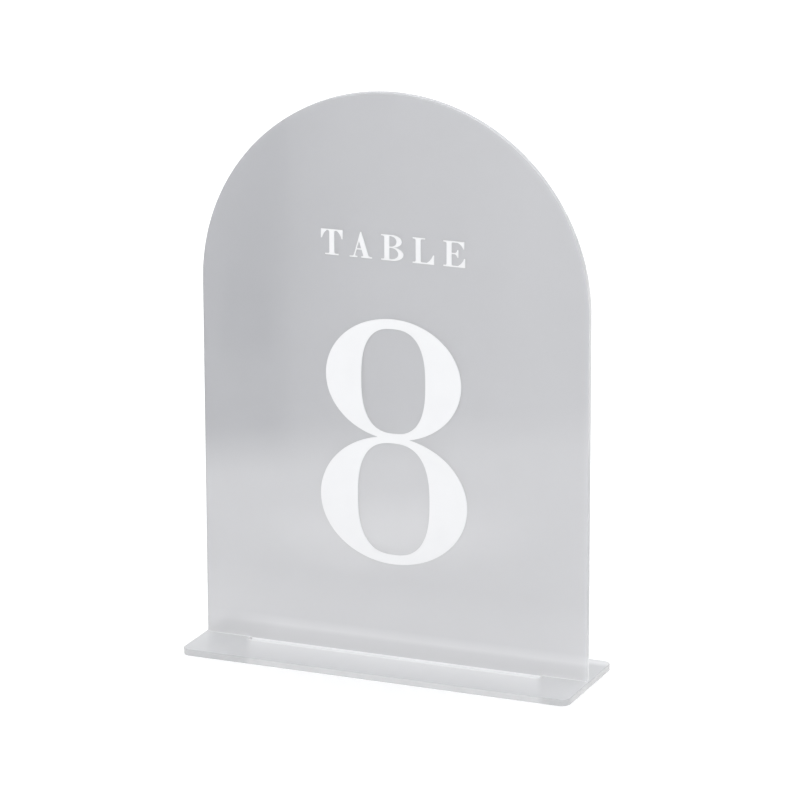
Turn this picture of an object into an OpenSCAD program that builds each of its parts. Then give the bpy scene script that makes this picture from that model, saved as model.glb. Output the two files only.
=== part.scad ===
// Table number holder: an arched sheet with a tab, standing in a slotted base plate,
// with a word and a numeral in thin white film on its front face.
// Millimetres. +Z is up and the front faces -Y. The origin is under the middle of the base.

/* [Sheet] */
// Thickness of the acrylic sheet that both pieces are cut from
sheet_t = 2; // [1.5:0.1:4]

/* [Arched panel] */
// Width of the panel, and of its round top
panel_w = 127; // [110:1:160]
// Height of the panel above the base plate
panel_h = 177.8; // [160:0.1:260]

/* [Base plate] */
// Length of the base plate, along the panel
base_len = 128.5; // [120:0.5:200]
// Depth of the base plate, from front to back
base_depth = 39; // [30:1:80]
// Radius of the base plate's corners, seen from above
base_corner_r = 3; // [2:0.5:12]

/* [Tab and slot] */
// Width of the tab under the panel
tab_w = 97; // [60:1:105]
// Gap between each end of the tab and its slot
end_gap = 0.5; // [0.2:0.1:2]
// Gap in front of the tab
front_gap = 2; // [0.2:0.1:3]
// Gap behind the tab
rear_gap = 0.15; // [0.1:0.05:1]
// How far the tab stops short of the table
tab_short = 0.2; // [0.1:0.1:1]

/* [Numeral] */
// Height of the numeral
numeral_h = 78; // [50:0.1:90]
// Width of the numeral across its lower bowl
numeral_w = 48.6; // [30:0.1:60]
// Thickness of the numeral's thin strokes
numeral_hair = 3.1; // [1.5:0.1:4]
// Height of the numeral's foot above the base plate
numeral_foot = 29.8; // [20:0.1:35]

/* [Word] */
// Height of the capitals
cap_h = 8; // [6:0.1:12]
// Width of the capitals' thick strokes
stem_w = 1.65; // [1:0.05:2]
// Thickness of the capitals' thin strokes
hair_w = 0.42; // [0.3:0.01:0.6]
// Gap between neighbouring capitals
letter_gap = 3; // [2:0.1:4]
// Height of the capitals' feet above the base plate
word_foot = 126.1; // [125:0.1:135]

/* [Film] */
// Thickness of the white film that the numeral and the capitals are cut from
film_t = 0.15; // [0.1:0.05:0.3]

/* [Hidden] */

FROSTED = [0.80, 0.81, 0.83];
WHITE = [0.97, 0.97, 0.98];

arch_r = panel_w / 2;
arch_z = sheet_t + panel_h - arch_r;
slot_w = front_gap + sheet_t + rear_gap;
slot_len = tab_w + 2 * end_gap;

// The numeral is two oval bowls, one on the other, each with a squarer oval counter.
waist_z = 0.517 * numeral_h;
waist_blend = 1;
low_half_w = numeral_w / 2;
top_half_w = 0.918 * low_half_w;
low_counter = 0.489;
top_counter = 0.474;
counter_power = 2.6;

// The capitals' own widths. The T's arm reaches over the A's slope, so that gap is closed up.
t_w = 7.2;
a_w = 7.4;
b_w = 7.3;
l_w = 7.0;
e_w = 7.1;
ta_kern = 0.75;
a_at = t_w + letter_gap - ta_kern;
b_at = a_at + a_w + letter_gap;
l_at = b_at + b_w + letter_gap;
e_at = l_at + l_w + letter_gap;
word_w = e_at + e_w;
bracket_r = 0.55;
tip_w = 0.35;

// Points of an oval: power 2 is an ellipse, and more is squarer.
function oval(z, half_w, half_h, power = 2, steps = 120) = [
    for (i = [0 : steps - 1])
        let (c = cos(360 * i / steps), s = sin(360 * i / steps))
        [half_w * sign(c) * pow(abs(c), 2 / power), z + half_h * sign(s) * pow(abs(s), 2 / power)]
];

// Points of a quadratic curve from a to b, drawn towards the point pull.
function bend(a, pull, b, steps = 8) = [
    for (i = [0 : steps])
        let (t = i / steps)
        (1 - t) * (1 - t) * a + 2 * t * (1 - t) * pull + t * t * b
];

// Points of half an ellipse that bulges towards +X, from its top to its foot.
function bulge(x, z0, z1, reach, steps = 24) = [
    for (i = [0 : steps])
        let (angle = 90 - 180 * i / steps)
        [x + reach * cos(angle), (z0 + z1) / 2 + (z1 - z0) / 2 * sin(angle)]
];

// Points that blend a thin stroke into a thick one around the hollow corner p, from p + a to p + b.
function bracket(p, a, b) = bend(p + bracket_r * a, p, p + bracket_r * b, 6);

// Points of the wedge at the right end of a thin arm, from its tip to its root. The corner is the arm's
// outer one. The wedge rises from an arm on the baseline, and hangs from a raised one if rise is negative.
function wedge(corner, rise, back) = concat(
    [corner + [0, rise]],
    bend(
        corner + [-tip_w, rise],
        corner + [-0.45 * back, 0.38 * rise],
        corner + [-back, sign(rise) * hair_w]
    )
);

// The same points in the opposite order.
function turned(points) = [for (i = [len(points) - 1 : -1 : 0]) points[i]];

// The same points in the opposite order, mirrored about the upright line at x.
function mirrored(points, x) = [for (p = turned(points)) [2 * x - p[0], p[1]]];

// Points up the left side of a stem at x, with a serif that starts at x = 0 at its foot and its head.
function stem_left(x) = concat(
    [[0, 0], [0, hair_w]],
    bracket([x, hair_w], [-1, 0], [0, 1]),
    bracket([x, cap_h - hair_w], [0, -1], [-1, 0]),
    [[0, cap_h - hair_w], [0, cap_h]]
);

module panel_outline() {
    translate([-tab_w / 2, tab_short])
        square([tab_w, sheet_t]);
    translate([-arch_r, sheet_t])
        square([panel_w, panel_h - arch_r]);
    translate([0, arch_z])
        circle(r = arch_r, $fn = 180);
}

module base_outline() {
    inner_x = base_len / 2 - base_corner_r;
    inner_y = base_depth / 2 - base_corner_r;
    square([2 * inner_x, base_depth], center = true);
    square([base_len, 2 * inner_y], center = true);
    for (x = [-inner_x, inner_x], y = [-inner_y, inner_y])
        translate([x, y])
            circle(r = base_corner_r, $fn = 64);
}

// Stands a flat outline up on the panel's front face, as film.
module film(z) {
    translate([0, -sheet_t / 2, sheet_t + z])
        rotate([90, 0, 0])
            linear_extrude(film_t)
                children();
}

module capital(x) {
    color(WHITE)
        film(word_foot)
            translate([x - word_w / 2, 0])
                children();
}

module base_plate() {
    color(FROSTED)
        difference() {
            linear_extrude(sheet_t)
                base_outline();
            translate([-slot_len / 2, -sheet_t / 2 - front_gap, -1])
                cube([slot_len, slot_w, sheet_t + 2]);
        }
}

module arch_panel() {
    color(FROSTED)
        translate([0, sheet_t / 2, 0])
            rotate([90, 0, 0])
                linear_extrude(sheet_t)
                    panel_outline();
}

// One bowl of the numeral, from z0 to z1, whose counter runs from hole0 to hole1.
module bowl(z0, z1, half_w, hole0, hole1, hole_half_w) {
    difference() {
        polygon(oval((z0 + z1) / 2, half_w, (z1 - z0) / 2));
        polygon(oval((hole0 + hole1) / 2, hole_half_w, (hole1 - hole0) / 2, counter_power));
    }
}

module numeral_8() {
    color(WHITE)
        film(numeral_foot) {
            bowl(0, waist_z + waist_blend / 2, low_half_w,
                numeral_hair, waist_z - numeral_hair / 2, low_counter * low_half_w);
            bowl(waist_z - waist_blend / 2, numeral_h, top_half_w,
                waist_z + numeral_hair / 2, numeral_h - numeral_hair, top_counter * top_half_w);
        }
}

module letter_t() {
    middle = t_w / 2;
    left = middle - stem_w / 2;
    foot = left - 1.4;
    left_half = concat(
        [[foot, 0], [foot, hair_w]],
        bracket([left, hair_w], [-1, 0], [0, 1]),
        bracket([left, cap_h - hair_w], [0, -1], [-1, 0]),
        mirrored(wedge([t_w, cap_h], -2.9, 2), middle),
        [[0, cap_h]]
    );
    capital(0)
        polygon(concat(left_half, mirrored(left_half, middle)));
}

module letter_a() {
    apex = [3.55, 3.9];
    thin = [1.2, 1.62];
    thick = [4.75, 6.45];
    thin_lean = (apex[0] - thin[0]) / cap_h;
    thick_lean = (apex[1] - thick[1]) / cap_h;
    bar_z = 2.45;
    bar_top = bar_z + hair_w;
    crotch_z = (thick[0] - thin[1]) / (thin_lean - thick_lean);
    capital(a_at)
        difference() {
            polygon(concat(
                [[0, 0], [0, hair_w]],
                bracket([thin[0] + thin_lean * hair_w, hair_w], [-1, 0], [thin_lean, 1]),
                [[apex[0], cap_h], [apex[1], cap_h]],
                bracket([thick[1] + thick_lean * hair_w, hair_w], [thick_lean, 1], [1, 0]),
                [[a_w, hair_w], [a_w, 0], [thick[0] - 0.9, 0], [thick[0] - 0.9, hair_w]],
                bracket([thick[0] + thick_lean * hair_w, hair_w], [-1, 0], [thick_lean, 1]),
                [[thick[0] + thick_lean * bar_z, bar_z], [thin[1] + thin_lean * bar_z, bar_z]],
                bracket([thin[1] + thin_lean * hair_w, hair_w], [thin_lean, 1], [1, 0]),
                [[thin[1] + 1, hair_w], [thin[1] + 1, 0]]
            ));
            polygon([
                [thin[1] + thin_lean * bar_top, bar_top],
                [thin[1] + thin_lean * crotch_z, crotch_z],
                [thick[0] + thick_lean * bar_top, bar_top]
            ]);
        }
}

module letter_b() {
    left = 1.05;
    right = left + stem_w;
    mid_z = 0.52 * cap_h;
    hole_x = 3.3;
    bow_x = 3.7;
    top_reach = 3.05;
    low_reach = b_w - bow_x;
    top_hole_reach = 1.75;
    low_hole_reach = 2.3;
    capital(b_at)
        difference() {
            polygon(concat(
                stem_left(left),
                bulge(bow_x, mid_z, cap_h, top_reach),
                bulge(bow_x, 0, mid_z, low_reach)
            ));
            polygon(concat(
                [[right, mid_z + hair_w / 2], [right, cap_h - hair_w]],
                bulge(hole_x, mid_z + hair_w / 2, cap_h - hair_w, top_hole_reach)
            ));
            polygon(concat(
                [[right, hair_w], [right, mid_z - hair_w / 2]],
                bulge(hole_x, hair_w, mid_z - hair_w / 2, low_hole_reach)
            ));
        }
}

module letter_l() {
    left = 1.0;
    right = left + stem_w;
    head_x = right + 1.4;
    capital(l_at)
        polygon(concat(
            stem_left(left),
            [[head_x, cap_h], [head_x, cap_h - hair_w]],
            bracket([right, cap_h - hair_w], [1, 0], [0, -1]),
            bracket([right, hair_w], [0, 1], [1, 0]),
            turned(wedge([l_w, 0], 2.9, 2.4)),
            [[l_w, 0]]
        ));
}

module letter_e() {
    left = 1.05;
    right = left + stem_w;
    mid_z = 0.52 * cap_h;
    mid_x = 4.9;
    barb = 1.4;
    barb_back = 1.2;
    arm_x = e_w - 0.25;
    capital(e_at)
        polygon(concat(
            stem_left(left),
            [[arm_x, cap_h]],
            wedge([arm_x, cap_h], -2.3, 2.2),
            bracket([right, cap_h - hair_w], [1, 0], [0, -1]),
            [[right, mid_z + hair_w / 2]],
            turned(wedge([mid_x, mid_z - hair_w / 2], barb, barb_back)),
            wedge([mid_x, mid_z + hair_w / 2], -barb, barb_back),
            [[right, mid_z - hair_w / 2]],
            bracket([right, hair_w], [0, 1], [1, 0]),
            turned(wedge([e_w, 0], 2.8, 2.4)),
            [[e_w, 0]]
        ));
}

base_plate();
arch_panel();
numeral_8();
letter_t();
letter_a();
letter_b();
letter_l();
letter_e();
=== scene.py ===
import math

import bmesh
import bpy
from mathutils import Matrix, Vector


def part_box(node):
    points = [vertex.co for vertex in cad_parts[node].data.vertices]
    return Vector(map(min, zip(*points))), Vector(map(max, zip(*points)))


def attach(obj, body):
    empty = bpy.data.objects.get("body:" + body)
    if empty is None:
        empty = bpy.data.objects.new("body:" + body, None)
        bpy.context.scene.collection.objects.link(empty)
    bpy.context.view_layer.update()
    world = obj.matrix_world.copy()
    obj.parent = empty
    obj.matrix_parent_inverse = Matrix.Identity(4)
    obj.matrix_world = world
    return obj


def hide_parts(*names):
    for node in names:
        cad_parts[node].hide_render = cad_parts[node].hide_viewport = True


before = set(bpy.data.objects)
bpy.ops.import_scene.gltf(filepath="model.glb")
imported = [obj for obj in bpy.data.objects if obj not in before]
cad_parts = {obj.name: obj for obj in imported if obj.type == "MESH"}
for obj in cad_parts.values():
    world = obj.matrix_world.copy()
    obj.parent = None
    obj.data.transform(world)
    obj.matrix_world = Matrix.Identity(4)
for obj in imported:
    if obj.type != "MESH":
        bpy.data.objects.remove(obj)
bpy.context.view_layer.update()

# The table number holder's looks, in metres: +Z is up, +X is right and the lettered front faces -Y.

MM = 0.001
FILM_NODES = ["numeral_8", "letter_t", "letter_a", "letter_b", "letter_l", "letter_e"]
SAME_POINT = 0.001 * MM
SHEET_ROUND = 0.18 * MM
FILM_ROUND = 0.05 * MM
BASE_CORNER = 3 * MM
ARCH_STEPS = 160
CORNER_STEPS = 16

# The sheets' and the film's colours, each a dark and a light one that the material clouds between
PANEL_COLOURS = (0.63, 0.635, 0.657), (0.645, 0.65, 0.672)
PANEL_EDGE_COLOURS = (0.70, 0.705, 0.72), (0.74, 0.745, 0.76)
BASE_COLOURS = (0.68, 0.685, 0.694), (0.70, 0.705, 0.714)
BASE_EDGE_COLOURS = (0.595, 0.60, 0.61), (0.63, 0.635, 0.645)
LIT_COLOURS = (0.68, 0.685, 0.70), (0.72, 0.725, 0.74)
FILM_COLOURS = (0.925, 0.927, 0.932), (0.945, 0.947, 0.952)
FLOOR_COLOURS = (0.90, 0.90, 0.90), (0.915, 0.915, 0.915)
WHITE = (1, 1, 1, 1)

# How clear and how shiny they are
ACRYLIC_IOR = 1.49
FILM_IOR = 1.46
COAT_IOR = 1.9
COAT_ROUGHNESS = 0.035
PANEL_CLEARNESS = 0.45
BASE_CLEARNESS = 0.15
EDGE_CLEARNESS = 0.25
FACE_ROUGHNESS = (0.34, 0.42)
EDGE_ROUGHNESS = (0.14, 0.24)
LIT_ROUGHNESS = (0.2, 0.3)
FILM_ROUGHNESS = (0.5, 0.62)

# Painted light on the panel, as emission: along its rim, at its foot, in a band there and where it meets
# the base
RIM_GLOW = 0.03
RIM_OUTER = 0.2 * MM
RIM_INNER = 1.6 * MM
FOOT_GLOW = 0.036
FOOT_FULL = 10 * MM
FOOT_END = 24 * MM
STRIP_GLOW = 0.035
STRIP_TOP = 4.2 * MM
BAND_GLOW = 0.085
BAND_PEAK = 5.6 * MM
BAND_END = 8.5 * MM
BAND_LEFT_SHARE = 0.2
BAND_LEFT = 6 * MM
BAND_WHOLE = 25 * MM
CONTACT_GLOW = 0.04
CONTACT_TOP = 1.6 * MM
TAB_GLOW = 0.27
TAB_DARK_SHARE = 0.3
TAB_TOP = 0.5 * MM

# The base's glows, painted light as emission: in front of the slot and along its rear rim, and a glow all
# over in front of the panel that makes up for the panel's shade in this simple lighting
SLOT_GLOW = 0.15
SLOT_LIGHT_SLANT = 0.42
SLOT_LIGHT_INNER = 1.5 * MM
SLOT_LIGHT_OUTER = 0.5 * MM
LIP_GLOW = 0.2
LIP_WIDTH = 1.6 * MM
LIP_OVERLAP = 0.2 * MM
FRONT_GLOW = 0.08
REAR_GLOW = 0.18
REAR_INNER = 5.5 * MM
REAR_OUTER = 2.5 * MM
NEAR_GLOW = 0.045
NEAR_FULL = 1 * MM
NEAR_MARGIN = 2 * MM
AHEAD_GLOW = 0.06
AHEAD_BLUR = 1.5 * MM
WALL_GLOW = 0.26
WALL_END_SHARE = 0.85
WALL_END_INNER = 1 * MM
WALL_END_OUTER = 0.3 * MM

# What the sheets mirror: a table top with a lighter spot, the room beyond its edge, and a plain backdrop.
# The room's places from left to right are measured along ACROSS.
TABLE_EDGE_SLANT = 0.67
TABLE_EDGE_Y = 0.29
TABLE_EDGE_BLUR = 0.035
TABLE_LIGHT = 1.5
TABLE_SPOT = Vector((-0.055, -0.127))
SPOT_INNER = 0.01
SPOT_OUTER = 0.05
SPOT_LIGHT = 0.6
ACROSS = Vector((0.912, -0.409))
DOORWAY_LEFT = -0.0575
DOORWAY_RIGHT = -0.0385
DOORWAY_BLUR = 1 * MM
DOORWAY_NEAR = -0.31
DOORWAY_NEAR_BLUR = 10 * MM
DOORWAY_FAR_FADE = (-0.75, -0.4)
DOORWAY_LIGHT = 0.4
ROOM_CORNER = -0.032
CORNER_STEP = 0.27
CORNER_STEP_LEFT = 2 * MM
CORNER_STEP_RIGHT = 1 * MM
ROOM_BEND = -0.004
ROOM_END = 0.06
ROOM_LEFT = 0.50
ROOM_MIDDLE = 0.81
ROOM_RIGHT = 1.07
ROOM_FAR_SHARE = 1.05
ROOM_NEAR_SHARE = 0.92
ROOM_DEPTH = (-0.6, -0.25)
BACKDROP_LIGHT = 1.2
BACKDROP_BEHIND = (-10 * MM, 50 * MM)
BACKDROP_BESIDE = (64 * MM, 66 * MM)
STUDIO_FAR = (1.0, 2.6)
STUDIO_COLOUR = (0.625, 0.632, 0.648)
MIRRORED_TINT = (1, 0.99, 0.97, 1)

FLOOR_HALF_SIZE = 3.0
FLOOR_GLOW = 0.2
FAR_FLOOR_GLOW = 0.5
FLOOR_FAR = (0.4, 1.6)

CAMERA_AZIMUTH = math.radians(22.878)
CAMERA_ELEVATION = math.radians(16.009)
CAMERA_ROLL = math.radians(-0.206)
CAMERA_DISTANCE = 1.47265
CAMERA_LENS = 217.668
CAMERA_AIM = Vector((0.001778, 0, 0.084277))


# Outlines

def close_points(points):
    """The points without neighbours that lie on each other."""
    kept = []
    for p in points:
        if not kept or (p - kept[-1]).length > SAME_POINT:
            kept.append(p)
    while len(kept) > 1 and (kept[0] - kept[-1]).length < SAME_POINT:
        kept.pop()
    return kept


def signed_area(points):
    """The outline's area, above zero where it runs anticlockwise."""
    return sum(a.x * b.y - b.x * a.y for a, b in zip(points, points[1:] + points[:1])) / 2


def wound(points, anticlockwise):
    """The outline, turned to run the way asked for."""
    return points if (signed_area(points) > 0) == anticlockwise else points[::-1]


def arc(centre, radius, start, end, steps):
    """Points on a circle from the start angle to the end angle, in degrees."""
    angles = [math.radians(start + (end - start) * i / steps) for i in range(steps + 1)]
    return [centre + radius * Vector((math.cos(a), math.sin(a))) for a in angles]


def cap_loops(node, up, flatten):
    """The closed outlines of a CAD node's faces that look along up, as flat points, the largest first."""
    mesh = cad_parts[node].data
    nearly_along = 0.99
    uses = {}
    flat_points = {}
    for face in mesh.polygons:
        if face.normal.dot(up) < nearly_along:
            continue
        flat = [flatten(mesh.vertices[i].co) for i in face.vertices]
        keys = [(round(p.x, 7), round(p.y, 7)) for p in flat]
        flat_points.update(zip(keys, flat))
        for a, b in zip(keys, keys[1:] + keys[:1]):
            uses[frozenset((a, b))] = uses.get(frozenset((a, b)), 0) + 1
    following = {}
    for edge, count in uses.items():
        if count == 1 and len(edge) == 2:
            a, b = edge
            following.setdefault(a, []).append(b)
            following.setdefault(b, []).append(a)
    loops = []
    while following:
        start = next(iter(following))
        loop = [start]
        last, here = None, start
        while True:
            step = next(k for k in following[here] if k != last)
            last, here = here, step
            if here == start:
                break
            loop.append(here)
        for key in loop:
            del following[key]
        loops.append(close_points([flat_points[key] for key in loop]))
    return sorted(loops, key=lambda loop: -abs(signed_area(loop)))


def miters(points):
    """For each corner of an outline, the move that shifts both its sides by 1 to their left. It is cut
    short where the outline turns back on itself."""
    least_divisor = 0.3
    moves = []
    for i, p in enumerate(points):
        before = (p - points[i - 1]).normalized()
        after = (points[(i + 1) % len(points)] - p).normalized()
        left_before = Vector((-before.y, before.x))
        left_after = Vector((-after.y, after.x))
        moves.append((left_before + left_after) / max(1 + left_before.dot(left_after), least_divisor))
    return moves


# Meshes

def sheet(name, loops, place, thickness, rounding, materials, cut_height=None, round_steps=4):
    """A flat sheet with rounded edges. place(u, v, w) is where a point of the outline lies at depth w. The
    first material is on the two faces, the second on the cut edges. The mesh is divided at cut_height."""
    bm = bmesh.new()
    angles = [math.pi / 2 * k / round_steps for k in range(round_steps + 1)]
    front = [(rounding * (1 - math.sin(a)), rounding * (1 - math.cos(a))) for a in angles]
    back = [(inset, thickness - depth) for inset, depth in reversed(front)]
    profile = front + back
    caps = {0: [], len(profile) - 1: []}
    for index, loop in enumerate(loops):
        points = wound(close_points(loop), index == 0)
        shifts = miters(points)
        rings = []
        for inset, depth in profile:
            rings.append([bm.verts.new(place(*(p + m * inset), depth)) for p, m in zip(points, shifts)])
        for ring, following in zip(rings, rings[1:]):
            for i in range(len(points)):
                j = (i + 1) % len(points)
                face = bm.faces.new((ring[i], following[i], following[j], ring[j]))
                face.material_index = 1
                face.smooth = True
        for k in caps:
            caps[k] += [bm.edges.get((rings[k][i - 1], rings[k][i])) for i in range(len(points))]
    for edges in caps.values():
        made = bmesh.ops.triangle_fill(bm, use_beauty=True, use_dissolve=False, edges=edges)
        for item in made["geom"]:
            if isinstance(item, bmesh.types.BMFace):
                item.material_index = 0
                item.smooth = True
    if cut_height is not None:
        everything = bm.verts[:] + bm.edges[:] + bm.faces[:]
        bmesh.ops.bisect_plane(bm, geom=everything, plane_co=(0, 0, cut_height), plane_no=(0, 0, 1))
    bmesh.ops.recalc_face_normals(bm, faces=bm.faces)
    mesh = bpy.data.meshes.new(name)
    bm.to_mesh(mesh)
    bm.free()
    for material in materials:
        mesh.materials.append(material)
    piece = bpy.data.objects.new(name, mesh)
    bpy.context.scene.collection.objects.link(piece)
    even = piece.modifiers.new("even_normals", "WEIGHTED_NORMAL")
    even.keep_sharp = True
    return piece


# Materials

class Shader:
    """A new material's node tree with short ways to add and join nodes."""

    def __init__(self, name):
        self.material = bpy.data.materials.new(name)
        self.material.use_nodes = True
        self.tree = self.material.node_tree
        self.surface = self.tree.nodes["Principled BSDF"]
        self.place = self.add("ShaderNodeTexCoord").outputs["Object"]

    def add(self, kind, **settings):
        node = self.tree.nodes.new(kind)
        for key, value in settings.items():
            setattr(node, key, value)
        return node

    def join(self, output, socket):
        self.tree.links.new(output, socket)

    def noise(self, size, detail=2.0, roughness=0.5):
        """Noise whose features are about size metres across."""
        node = self.add("ShaderNodeTexNoise")
        node.inputs["Scale"].default_value = 1 / size
        node.inputs["Detail"].default_value = detail
        node.inputs["Roughness"].default_value = roughness
        self.join(self.place, node.inputs["Vector"])
        return node.outputs["Fac"]

    def spread(self, value, low, high, start=0.3, end=0.7):
        """The value's start to end range, spread over low to high."""
        node = self.add("ShaderNodeMapRange")
        for socket, number in zip(("From Min", "From Max", "To Min", "To Max"), (start, end, low, high)):
            node.inputs[socket].default_value = number
        self.join(value, node.inputs["Value"])
        return node.outputs["Result"]

    def blend(self, value, first, second):
        """A colour between two others, by the value."""
        node = self.add("ShaderNodeMix", data_type="RGBA")
        node.inputs["A"].default_value = (*first, 1)
        node.inputs["B"].default_value = (*second, 1)
        self.join(value, node.inputs["Factor"])
        return node.outputs["Result"]

    def maths(self, operation, first, second=None):
        """The operation's result on one or two values, each an output or a number."""
        node = self.add("ShaderNodeMath", operation=operation)
        for socket, value in zip(node.inputs, (first, second)):
            if isinstance(value, (int, float)):
                socket.default_value = value
            elif value is not None:
                self.join(value, socket)
        return node.outputs["Value"]

    def between(self, value, first, second):
        """A value between two others, each an output or a number, by the first value."""
        node = self.add("ShaderNodeMix", data_type="FLOAT")
        self.join(value, node.inputs["Factor"])
        for socket, end in ((node.inputs["A"], first), (node.inputs["B"], second)):
            if isinstance(end, (int, float)):
                socket.default_value = end
            else:
                self.join(end, socket)
        return node.outputs["Result"]

    def length(self, x, y):
        squares = self.maths("ADD", self.maths("MULTIPLY", x, x), self.maths("MULTIPLY", y, y))
        return self.maths("SQRT", squares)

    def axes(self):
        node = self.add("ShaderNodeSeparateXYZ")
        self.join(self.place, node.inputs["Vector"])
        return node.outputs["X"], node.outputs["Y"], node.outputs["Z"]

    def bump(self, value, strength, depth):
        node = self.add("ShaderNodeBump")
        node.inputs["Strength"].default_value = strength
        node.inputs["Distance"].default_value = depth
        self.join(value, node.inputs["Height"])
        self.join(node.outputs["Normal"], self.surface.inputs["Normal"])

    def set(self, **values):
        for key, value in values.items():
            self.surface.inputs[key.replace("_", " ")].default_value = value


def frosted(name, colours, clearness, glow):
    """A sheet's etched faces: satin and a little cloudy, with a very fine grain and a clear coat."""
    s = Shader(name)
    cloud = s.spread(s.noise(35 * MM, detail=3), 0, 1)
    s.join(s.blend(cloud, *colours), s.surface.inputs["Base Color"])
    s.join(s.spread(s.noise(12 * MM, detail=4), *FACE_ROUGHNESS), s.surface.inputs["Roughness"])
    # The glow is painted light, as emission
    s.join(glow(s), s.surface.inputs["Emission Strength"])
    s.bump(s.noise(0.35 * MM), 0.25, 0.01 * MM)
    s.set(IOR=ACRYLIC_IOR, Transmission_Weight=clearness, Emission_Color=WHITE)
    s.set(Coat_Weight=1, Coat_Roughness=COAT_ROUGHNESS, Coat_IOR=COAT_IOR)
    return s.material


def polished_edge(name, colours, glow):
    """A sheet's cut edges: glossier than its etched faces, uncoated, and with a faint fine bump."""
    s = Shader(name)
    cloud = s.spread(s.noise(6 * MM, detail=3), 0, 1)
    s.join(s.blend(cloud, *colours), s.surface.inputs["Base Color"])
    s.join(s.spread(s.noise(3 * MM, detail=3), *EDGE_ROUGHNESS), s.surface.inputs["Roughness"])
    # The glow is painted light, as emission
    s.join(glow(s), s.surface.inputs["Emission Strength"])
    s.bump(s.noise(0.5 * MM, detail=3), 0.3, 0.01 * MM)
    s.set(IOR=ACRYLIC_IOR, Transmission_Weight=EDGE_CLEARNESS, Emission_Color=WHITE)
    return s.material


def lit_edge(name, glow):
    """The tab and the slot's walls, where the two sheets meet, with painted light as emission."""
    s = Shader(name)
    cloud = s.spread(s.noise(5 * MM, detail=3), 0, 1)
    s.join(s.blend(cloud, *LIT_COLOURS), s.surface.inputs["Base Color"])
    s.join(s.spread(s.noise(2 * MM, detail=3), *LIT_ROUGHNESS), s.surface.inputs["Roughness"])
    s.join(glow(s), s.surface.inputs["Emission Strength"])
    s.set(IOR=ACRYLIC_IOR, Emission_Color=WHITE)
    return s.material


def white_film():
    """Matt white cut vinyl, with the faint unevenness of a stuck film."""
    s = Shader("white_film")
    cloud = s.spread(s.noise(9 * MM, detail=3), 0, 1)
    s.join(s.blend(cloud, *FILM_COLOURS), s.surface.inputs["Base Color"])
    s.join(s.spread(s.noise(4 * MM, detail=3), *FILM_ROUGHNESS), s.surface.inputs["Roughness"])
    s.bump(s.noise(1.2 * MM, detail=2), 0.15, 0.01 * MM)
    s.set(IOR=FILM_IOR)
    return s.material


# The glows: painted light, as emission

def slot_corner():
    """The slot's front right corner."""
    slot = slot_outline()
    return max(p.x for p in slot), min(p.y for p in slot)


def panel_glow(s):
    """Painted light, as emission: lighter along the arched rim, at the foot, in a band near the base and
    where the panel meets it.
    """
    low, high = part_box("arch_panel")
    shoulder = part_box("base_plate")[1].z
    radius = (high.x - low.x) / 2
    x, _, z = s.axes()
    above = s.maths("MAXIMUM", s.maths("SUBTRACT", z, high.z - radius), 0)
    rim = s.spread(s.length(x, above), 0, RIM_GLOW, radius - RIM_INNER, radius - RIM_OUTER)
    foot = s.spread(z, FOOT_GLOW, 0, shoulder + FOOT_FULL, shoulder + FOOT_END)
    band = s.maths("MINIMUM",
                   s.spread(z, STRIP_GLOW, BAND_GLOW, shoulder + STRIP_TOP, shoulder + BAND_PEAK),
                   s.spread(z, BAND_GLOW, 0, shoulder + BAND_PEAK, shoulder + BAND_END))
    along = s.spread(x, BAND_LEFT_SHARE, 1, low.x + BAND_LEFT, low.x + BAND_WHOLE)
    slot_x, _ = slot_corner()
    contact = s.maths("MULTIPLY",
                      s.spread(z, CONTACT_GLOW, 0, shoulder, shoulder + CONTACT_TOP),
                      s.spread(s.maths("ABSOLUTE", x), 0, 1, slot_x - MM, slot_x + MM))
    foot = s.maths("ADD", foot, s.maths("MULTIPLY", band, along))
    return s.maths("ADD", s.maths("ADD", rim, contact), foot)


def tab_glow(s):
    """Painted light, as emission: brightest at the top of the tab."""
    low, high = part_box("base_plate")
    dark = low.z + TAB_DARK_SHARE * (high.z - low.z)
    return s.spread(s.axes()[2], 0, TAB_GLOW, dark, high.z - TAB_TOP)


def along_slot(s):
    """1 in front of the slot, and 0 beyond its ends, on a slant: where the painted light in front of the
    slot falls.
    """
    slot_x, slot_y = slot_corner()
    x, y, _ = s.axes()
    drift = s.maths("MULTIPLY", s.maths("SUBTRACT", y, slot_y), SLOT_LIGHT_SLANT)
    across = s.maths("ABSOLUTE", s.maths("ADD", x, drift))
    return s.spread(across, 1, 0, slot_x - SLOT_LIGHT_INNER, slot_x + SLOT_LIGHT_OUTER)


def base_glow(s):
    """Painted light, as emission: lighter in front of the slot and along the rear rim. All over in front of
    the panel, a little painted glow makes up for its shade."""
    low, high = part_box("base_plate")
    _, slot_y = slot_corner()
    y = s.axes()[1]
    ahead = s.spread(y, 0, SLOT_GLOW, low.y, slot_y)
    lip = s.spread(y, 0, LIP_GLOW, slot_y - LIP_WIDTH, slot_y)
    before = s.maths("LESS_THAN", y, slot_y + LIP_OVERLAP)
    slot = s.maths("MULTIPLY", s.maths("MULTIPLY", along_slot(s), s.maths("ADD", ahead, lip)), before)
    rear = s.spread(y, 0, REAR_GLOW, high.y - REAR_INNER, high.y - REAR_OUTER)
    near = s.spread(s.maths("ABSOLUTE", y), NEAR_GLOW, 0, NEAR_FULL, high.y - NEAR_MARGIN)
    near = s.maths("MULTIPLY", s.maths("ADD", near, AHEAD_GLOW), s.spread(y, 1, 0, -AHEAD_BLUR, AHEAD_BLUR))
    return s.maths("ADD", slot, s.maths("ADD", rear, near))


def front_glow(s):
    """Painted light, as emission: lighter in front of the slot, on the base's cut edge."""
    before = s.maths("LESS_THAN", s.axes()[1], 0)
    return s.maths("MULTIPLY", s.maths("MULTIPLY", along_slot(s), before), FRONT_GLOW)


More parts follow.
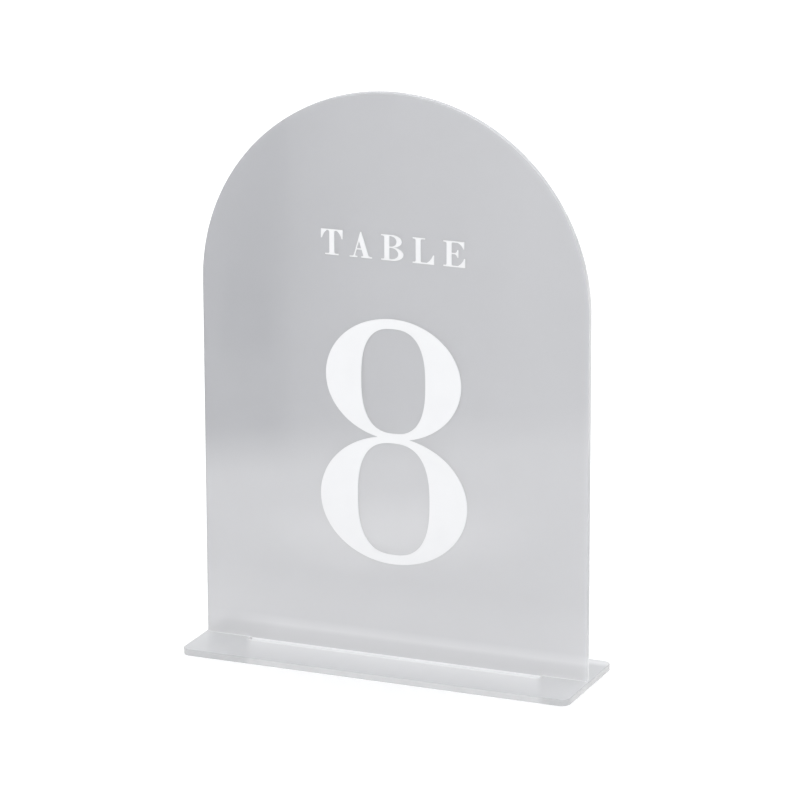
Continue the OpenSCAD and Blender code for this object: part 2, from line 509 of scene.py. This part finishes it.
def wall_glow(s):
    """Painted light, as emission: brightest at the top of the slot, and weaker at its ends."""
    low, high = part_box("base_plate")
    slot_x, _ = slot_corner()
    x, _, z = s.axes()
    from_middle = s.maths("ABSOLUTE", x)
    ends = s.spread(from_middle, 1, WALL_END_SHARE, slot_x - WALL_END_INNER, slot_x - WALL_END_OUTER)
    return s.maths("MULTIPLY", ends, s.spread(z, WALL_GLOW / 2, WALL_GLOW, low.z, high.z))


# The studio's materials

def floor_white():
    """A white floor, which glows more far away, where it meets the white behind it."""
    s = Shader("floor_white")
    cloud = s.spread(s.noise(0.4, detail=2), 0, 1)
    s.join(s.blend(cloud, *FLOOR_COLOURS), s.surface.inputs["Base Color"])
    x, y, _ = s.axes()
    glow = s.spread(s.length(x, y), FLOOR_GLOW, FAR_FLOOR_GLOW, *FLOOR_FAR)
    s.join(glow, s.surface.inputs["Emission Strength"])
    s.set(Roughness=0.9, Emission_Color=WHITE)
    return s.material


def mirrored_room(s, x, y):
    """The room beyond the table: a wall with a corner, and a dark doorway on the left."""
    across = s.maths("ADD", s.maths("MULTIPLY", x, ACROSS.x), s.maths("MULTIPLY", y, ACROSS.y))
    doorway = s.maths("MULTIPLY",
                      s.spread(across, 0, 1, DOORWAY_LEFT - DOORWAY_BLUR, DOORWAY_LEFT + DOORWAY_BLUR),
                      s.spread(across, 1, 0, DOORWAY_RIGHT - DOORWAY_BLUR, DOORWAY_RIGHT + DOORWAY_BLUR))
    near_end = s.spread(y, 1, 0, DOORWAY_NEAR - DOORWAY_NEAR_BLUR, DOORWAY_NEAR + DOORWAY_NEAR_BLUR)
    doorway = s.maths("MULTIPLY", doorway, near_end)
    wall = s.maths("ADD",
                   s.spread(across, ROOM_LEFT, ROOM_MIDDLE, ROOM_CORNER, ROOM_BEND),
                   s.spread(across, 0, ROOM_RIGHT - ROOM_MIDDLE, ROOM_BEND, ROOM_END))
    step = s.spread(across, CORNER_STEP, 0, ROOM_CORNER - CORNER_STEP_LEFT, ROOM_CORNER + CORNER_STEP_RIGHT)
    doorway_light = s.spread(y, DOORWAY_LIGHT, 0, *DOORWAY_FAR_FADE)
    room = s.between(doorway, s.maths("SUBTRACT", wall, step), doorway_light)
    return s.maths("MULTIPLY", room, s.spread(y, ROOM_FAR_SHARE, ROOM_NEAR_SHARE, *ROOM_DEPTH))


def mirrored_table(s, x, y):
    """The bright table top, with a lighter spot."""
    from_spot = s.length(s.maths("SUBTRACT", x, TABLE_SPOT.x), s.maths("SUBTRACT", y, TABLE_SPOT.y))
    return s.spread(from_spot, TABLE_LIGHT + SPOT_LIGHT, TABLE_LIGHT, SPOT_INNER, SPOT_OUTER)


def reflected_studio():
    """What the sheets mirror below the horizon: in front the table top and, beyond its edge, the room.
    Beside and behind the object it is a plain backdrop, and far away it has the studio's own grey."""
    s = Shader("reflected_studio")
    x, y, _ = s.axes()
    edge = s.maths("ADD", s.maths("MULTIPLY", x, TABLE_EDGE_SLANT), s.maths("ADD", y, TABLE_EDGE_Y))
    on_table = s.spread(edge, 0, 1, -TABLE_EDGE_BLUR, TABLE_EDGE_BLUR)
    front = s.between(on_table, mirrored_room(s, x, y), mirrored_table(s, x, y))
    backdrop = s.maths("MAXIMUM", s.spread(y, 0, 1, *BACKDROP_BEHIND), s.spread(x, 0, 1, *BACKDROP_BESIDE))
    far = s.spread(s.length(x, y), 0, 1, *STUDIO_FAR)
    light = s.between(far, s.between(backdrop, front, BACKDROP_LIGHT), STUDIO_COLOUR[1])
    s.join(light, s.surface.inputs["Emission Strength"])
    s.set(Base_Color=(0, 0, 0, 1), Roughness=1, Emission_Color=MIRRORED_TINT, Specular_IOR_Level=0)
    return s.material


# Pieces

def upright(front):
    """Where a point of an upright outline lies: across, up and back from the front."""
    return lambda u, v, w: Vector((u, front + w, v))


def lying(top):
    """Where a point of a lying outline lies: across, back and down from the top."""
    return lambda u, v, w: Vector((u, v, top - w))


def slot_outline():
    """The hole in the base plate's top face."""
    return cap_loops("base_plate", Vector((0, 0, 1)), lambda co: co.xy.copy())[1]


def make_panel(face, edge, lit):
    """The arched sheet with its tab. The lit material is on the tab and the shoulders' undersides."""
    low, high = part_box("arch_panel")
    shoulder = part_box("base_plate")[1].z
    corners = [v.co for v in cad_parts["arch_panel"].data.vertices]
    tab = [co.x for co in corners if co.z < (low.z + shoulder) / 2]
    tab_left, tab_right = min(tab), max(tab)
    radius = (high.x - low.x) / 2
    outline = [Vector((tab_left, shoulder)), Vector((tab_left, low.z)), Vector((tab_right, low.z))]
    outline += [Vector((tab_right, shoulder)), Vector((high.x, shoulder))]
    outline += arc(Vector((0, high.z - radius)), radius, 0, 180, ARCH_STEPS)
    outline += [Vector((low.x, shoulder))]
    panel = sheet("arched_sheet", [outline], upright(low.y), high.y - low.y, SHEET_ROUND,
                  [face, edge, lit], cut_height=shoulder)
    facing_down = -0.1
    for polygon in panel.data.polygons:
        height = polygon.center.z
        if height < shoulder or (height < shoulder + SHEET_ROUND and polygon.normal.z < facing_down):
            polygon.material_index = 2
    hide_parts("arch_panel")
    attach(panel, "panel")


def make_base(face, edge, lit):
    """The base sheet with its slot. The lit material is on the slot's walls."""
    low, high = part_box("base_plate")
    slot = slot_outline()
    outline = []
    for side_x, side_y, start in ((1, 1, 0), (-1, 1, 90), (-1, -1, 180), (1, -1, 270)):
        centre = Vector((side_x * (high.x - BASE_CORNER), side_y * (high.y - BASE_CORNER)))
        outline += arc(centre, BASE_CORNER, start, start + 90, CORNER_STEPS)
    base = sheet("base_sheet", [outline, slot], lying(high.z), high.z - low.z, SHEET_ROUND,
                 [face, edge, lit])
    reach_x = max(abs(p.x) for p in slot) + MM
    reach_y = max(abs(p.y) for p in slot) + MM
    for polygon in base.data.polygons:
        in_slot = abs(polygon.center.x) < reach_x and abs(polygon.center.y) < reach_y
        if polygon.material_index == 1 and in_slot:
            polygon.material_index = 2
    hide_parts("base_plate")
    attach(base, "base")
    base.visible_glossy = False


def make_film(node, film):
    """A letter or numeral of film, on its CAD node's outline."""
    low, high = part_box(node)
    loops = cap_loops(node, Vector((0, -1, 0)), lambda co: co.xz.copy())
    piece = sheet("film_" + node, loops, upright(low.y), high.y - low.y, FILM_ROUND,
                  [film, film], round_steps=2)
    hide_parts(node)
    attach(piece, "panel")


# The studio

def stage_plane(name, material, height):
    """A large level plane, which isn't part of the object."""
    bm = bmesh.new()
    bmesh.ops.create_grid(bm, x_segments=8, y_segments=8, size=FLOOR_HALF_SIZE)
    mesh = bpy.data.meshes.new(name)
    bm.to_mesh(mesh)
    bm.free()
    mesh.materials.append(material)
    plane = bpy.data.objects.new(name, mesh)
    plane.location.z = height
    bpy.context.scene.collection.objects.link(plane)
    return plane


def make_floor():
    """A floor that glossy rays pass, and just under it a plane that only they see."""
    stage_plane("floor", floor_white(), 0).visible_glossy = False
    mirrored = stage_plane("mirrored_floor", reflected_studio(), -MM)
    for rays in ("camera", "diffuse", "transmission", "volume_scatter", "shadow"):
        setattr(mirrored, "visible_" + rays, False)


def area_light(name, place, aim, width, height, power):
    lamp = bpy.data.lights.new(name, "AREA")
    lamp.shape = "RECTANGLE"
    lamp.size = width
    lamp.size_y = height
    lamp.energy = power
    light = bpy.data.objects.new(name, lamp)
    light.location = place
    light.rotation_euler = (Vector(aim) - Vector(place)).to_track_quat("-Z", "Y").to_euler()
    bpy.context.scene.collection.objects.link(light)


def make_world():
    """White where the camera looks, and the studio's grey for every other ray."""
    world = bpy.data.worlds.new("studio")
    world.use_nodes = True
    bpy.context.scene.world = world
    tree = world.node_tree
    tree.nodes.clear()
    out = tree.nodes.new("ShaderNodeOutputWorld")
    mix = tree.nodes.new("ShaderNodeMixShader")
    path = tree.nodes.new("ShaderNodeLightPath")
    seen = tree.nodes.new("ShaderNodeBackground")
    studio = tree.nodes.new("ShaderNodeBackground")
    seen.inputs["Color"].default_value = WHITE
    studio.inputs["Color"].default_value = (*STUDIO_COLOUR, 1)
    tree.links.new(path.outputs["Is Camera Ray"], mix.inputs[0])
    tree.links.new(studio.outputs[0], mix.inputs[1])
    tree.links.new(seen.outputs[0], mix.inputs[2])
    tree.links.new(mix.outputs[0], out.inputs["Surface"])


def make_camera():
    """The camera at its azimuth and elevation round the aim, rolled a little."""
    back = Vector((
        math.sin(CAMERA_AZIMUTH) * math.cos(CAMERA_ELEVATION),
        -math.cos(CAMERA_AZIMUTH) * math.cos(CAMERA_ELEVATION),
        math.sin(CAMERA_ELEVATION),
    ))
    right = Vector((math.cos(CAMERA_AZIMUTH), math.sin(CAMERA_AZIMUTH), 0))
    turn = Matrix.Rotation(CAMERA_ROLL, 3, back)
    right = turn @ right
    up = back.cross(right)
    data = bpy.data.cameras.new("camera")
    data.lens = CAMERA_LENS
    data.sensor_width = 36
    data.clip_start = 0.05
    data.clip_end = 20
    camera = bpy.data.objects.new("camera", data)
    camera.matrix_world = Matrix.Translation(CAMERA_AIM + back * CAMERA_DISTANCE) \
        @ Matrix((right, up, back)).transposed().to_4x4()
    bpy.context.scene.collection.objects.link(camera)
    bpy.context.scene.camera = camera


panel_face = frosted("frosted_panel", PANEL_COLOURS, PANEL_CLEARNESS, panel_glow)
base_face = frosted("frosted_base", BASE_COLOURS, BASE_CLEARNESS, base_glow)
panel_edge = polished_edge("polished_panel_edge", PANEL_EDGE_COLOURS, panel_glow)
base_edge = polished_edge("polished_base_edge", BASE_EDGE_COLOURS, front_glow)
film = white_film()
make_panel(panel_face, panel_edge, lit_edge("lit_tab", tab_glow))
make_base(base_face, base_edge, lit_edge("lit_slot", wall_glow))
for node in FILM_NODES:
    make_film(node, film)
make_floor()
make_world()
area_light("key", place=(0.9, -1.1, 1.3), aim=(0, 0, 0.08), width=1.2, height=1.2, power=3.6)
area_light("top", place=(0, 0.3, 1.6), aim=(0, 0.1, 0), width=2.0, height=2.0, power=18)
make_camera()
bpy.context.scene.view_settings.view_transform = "Standard"
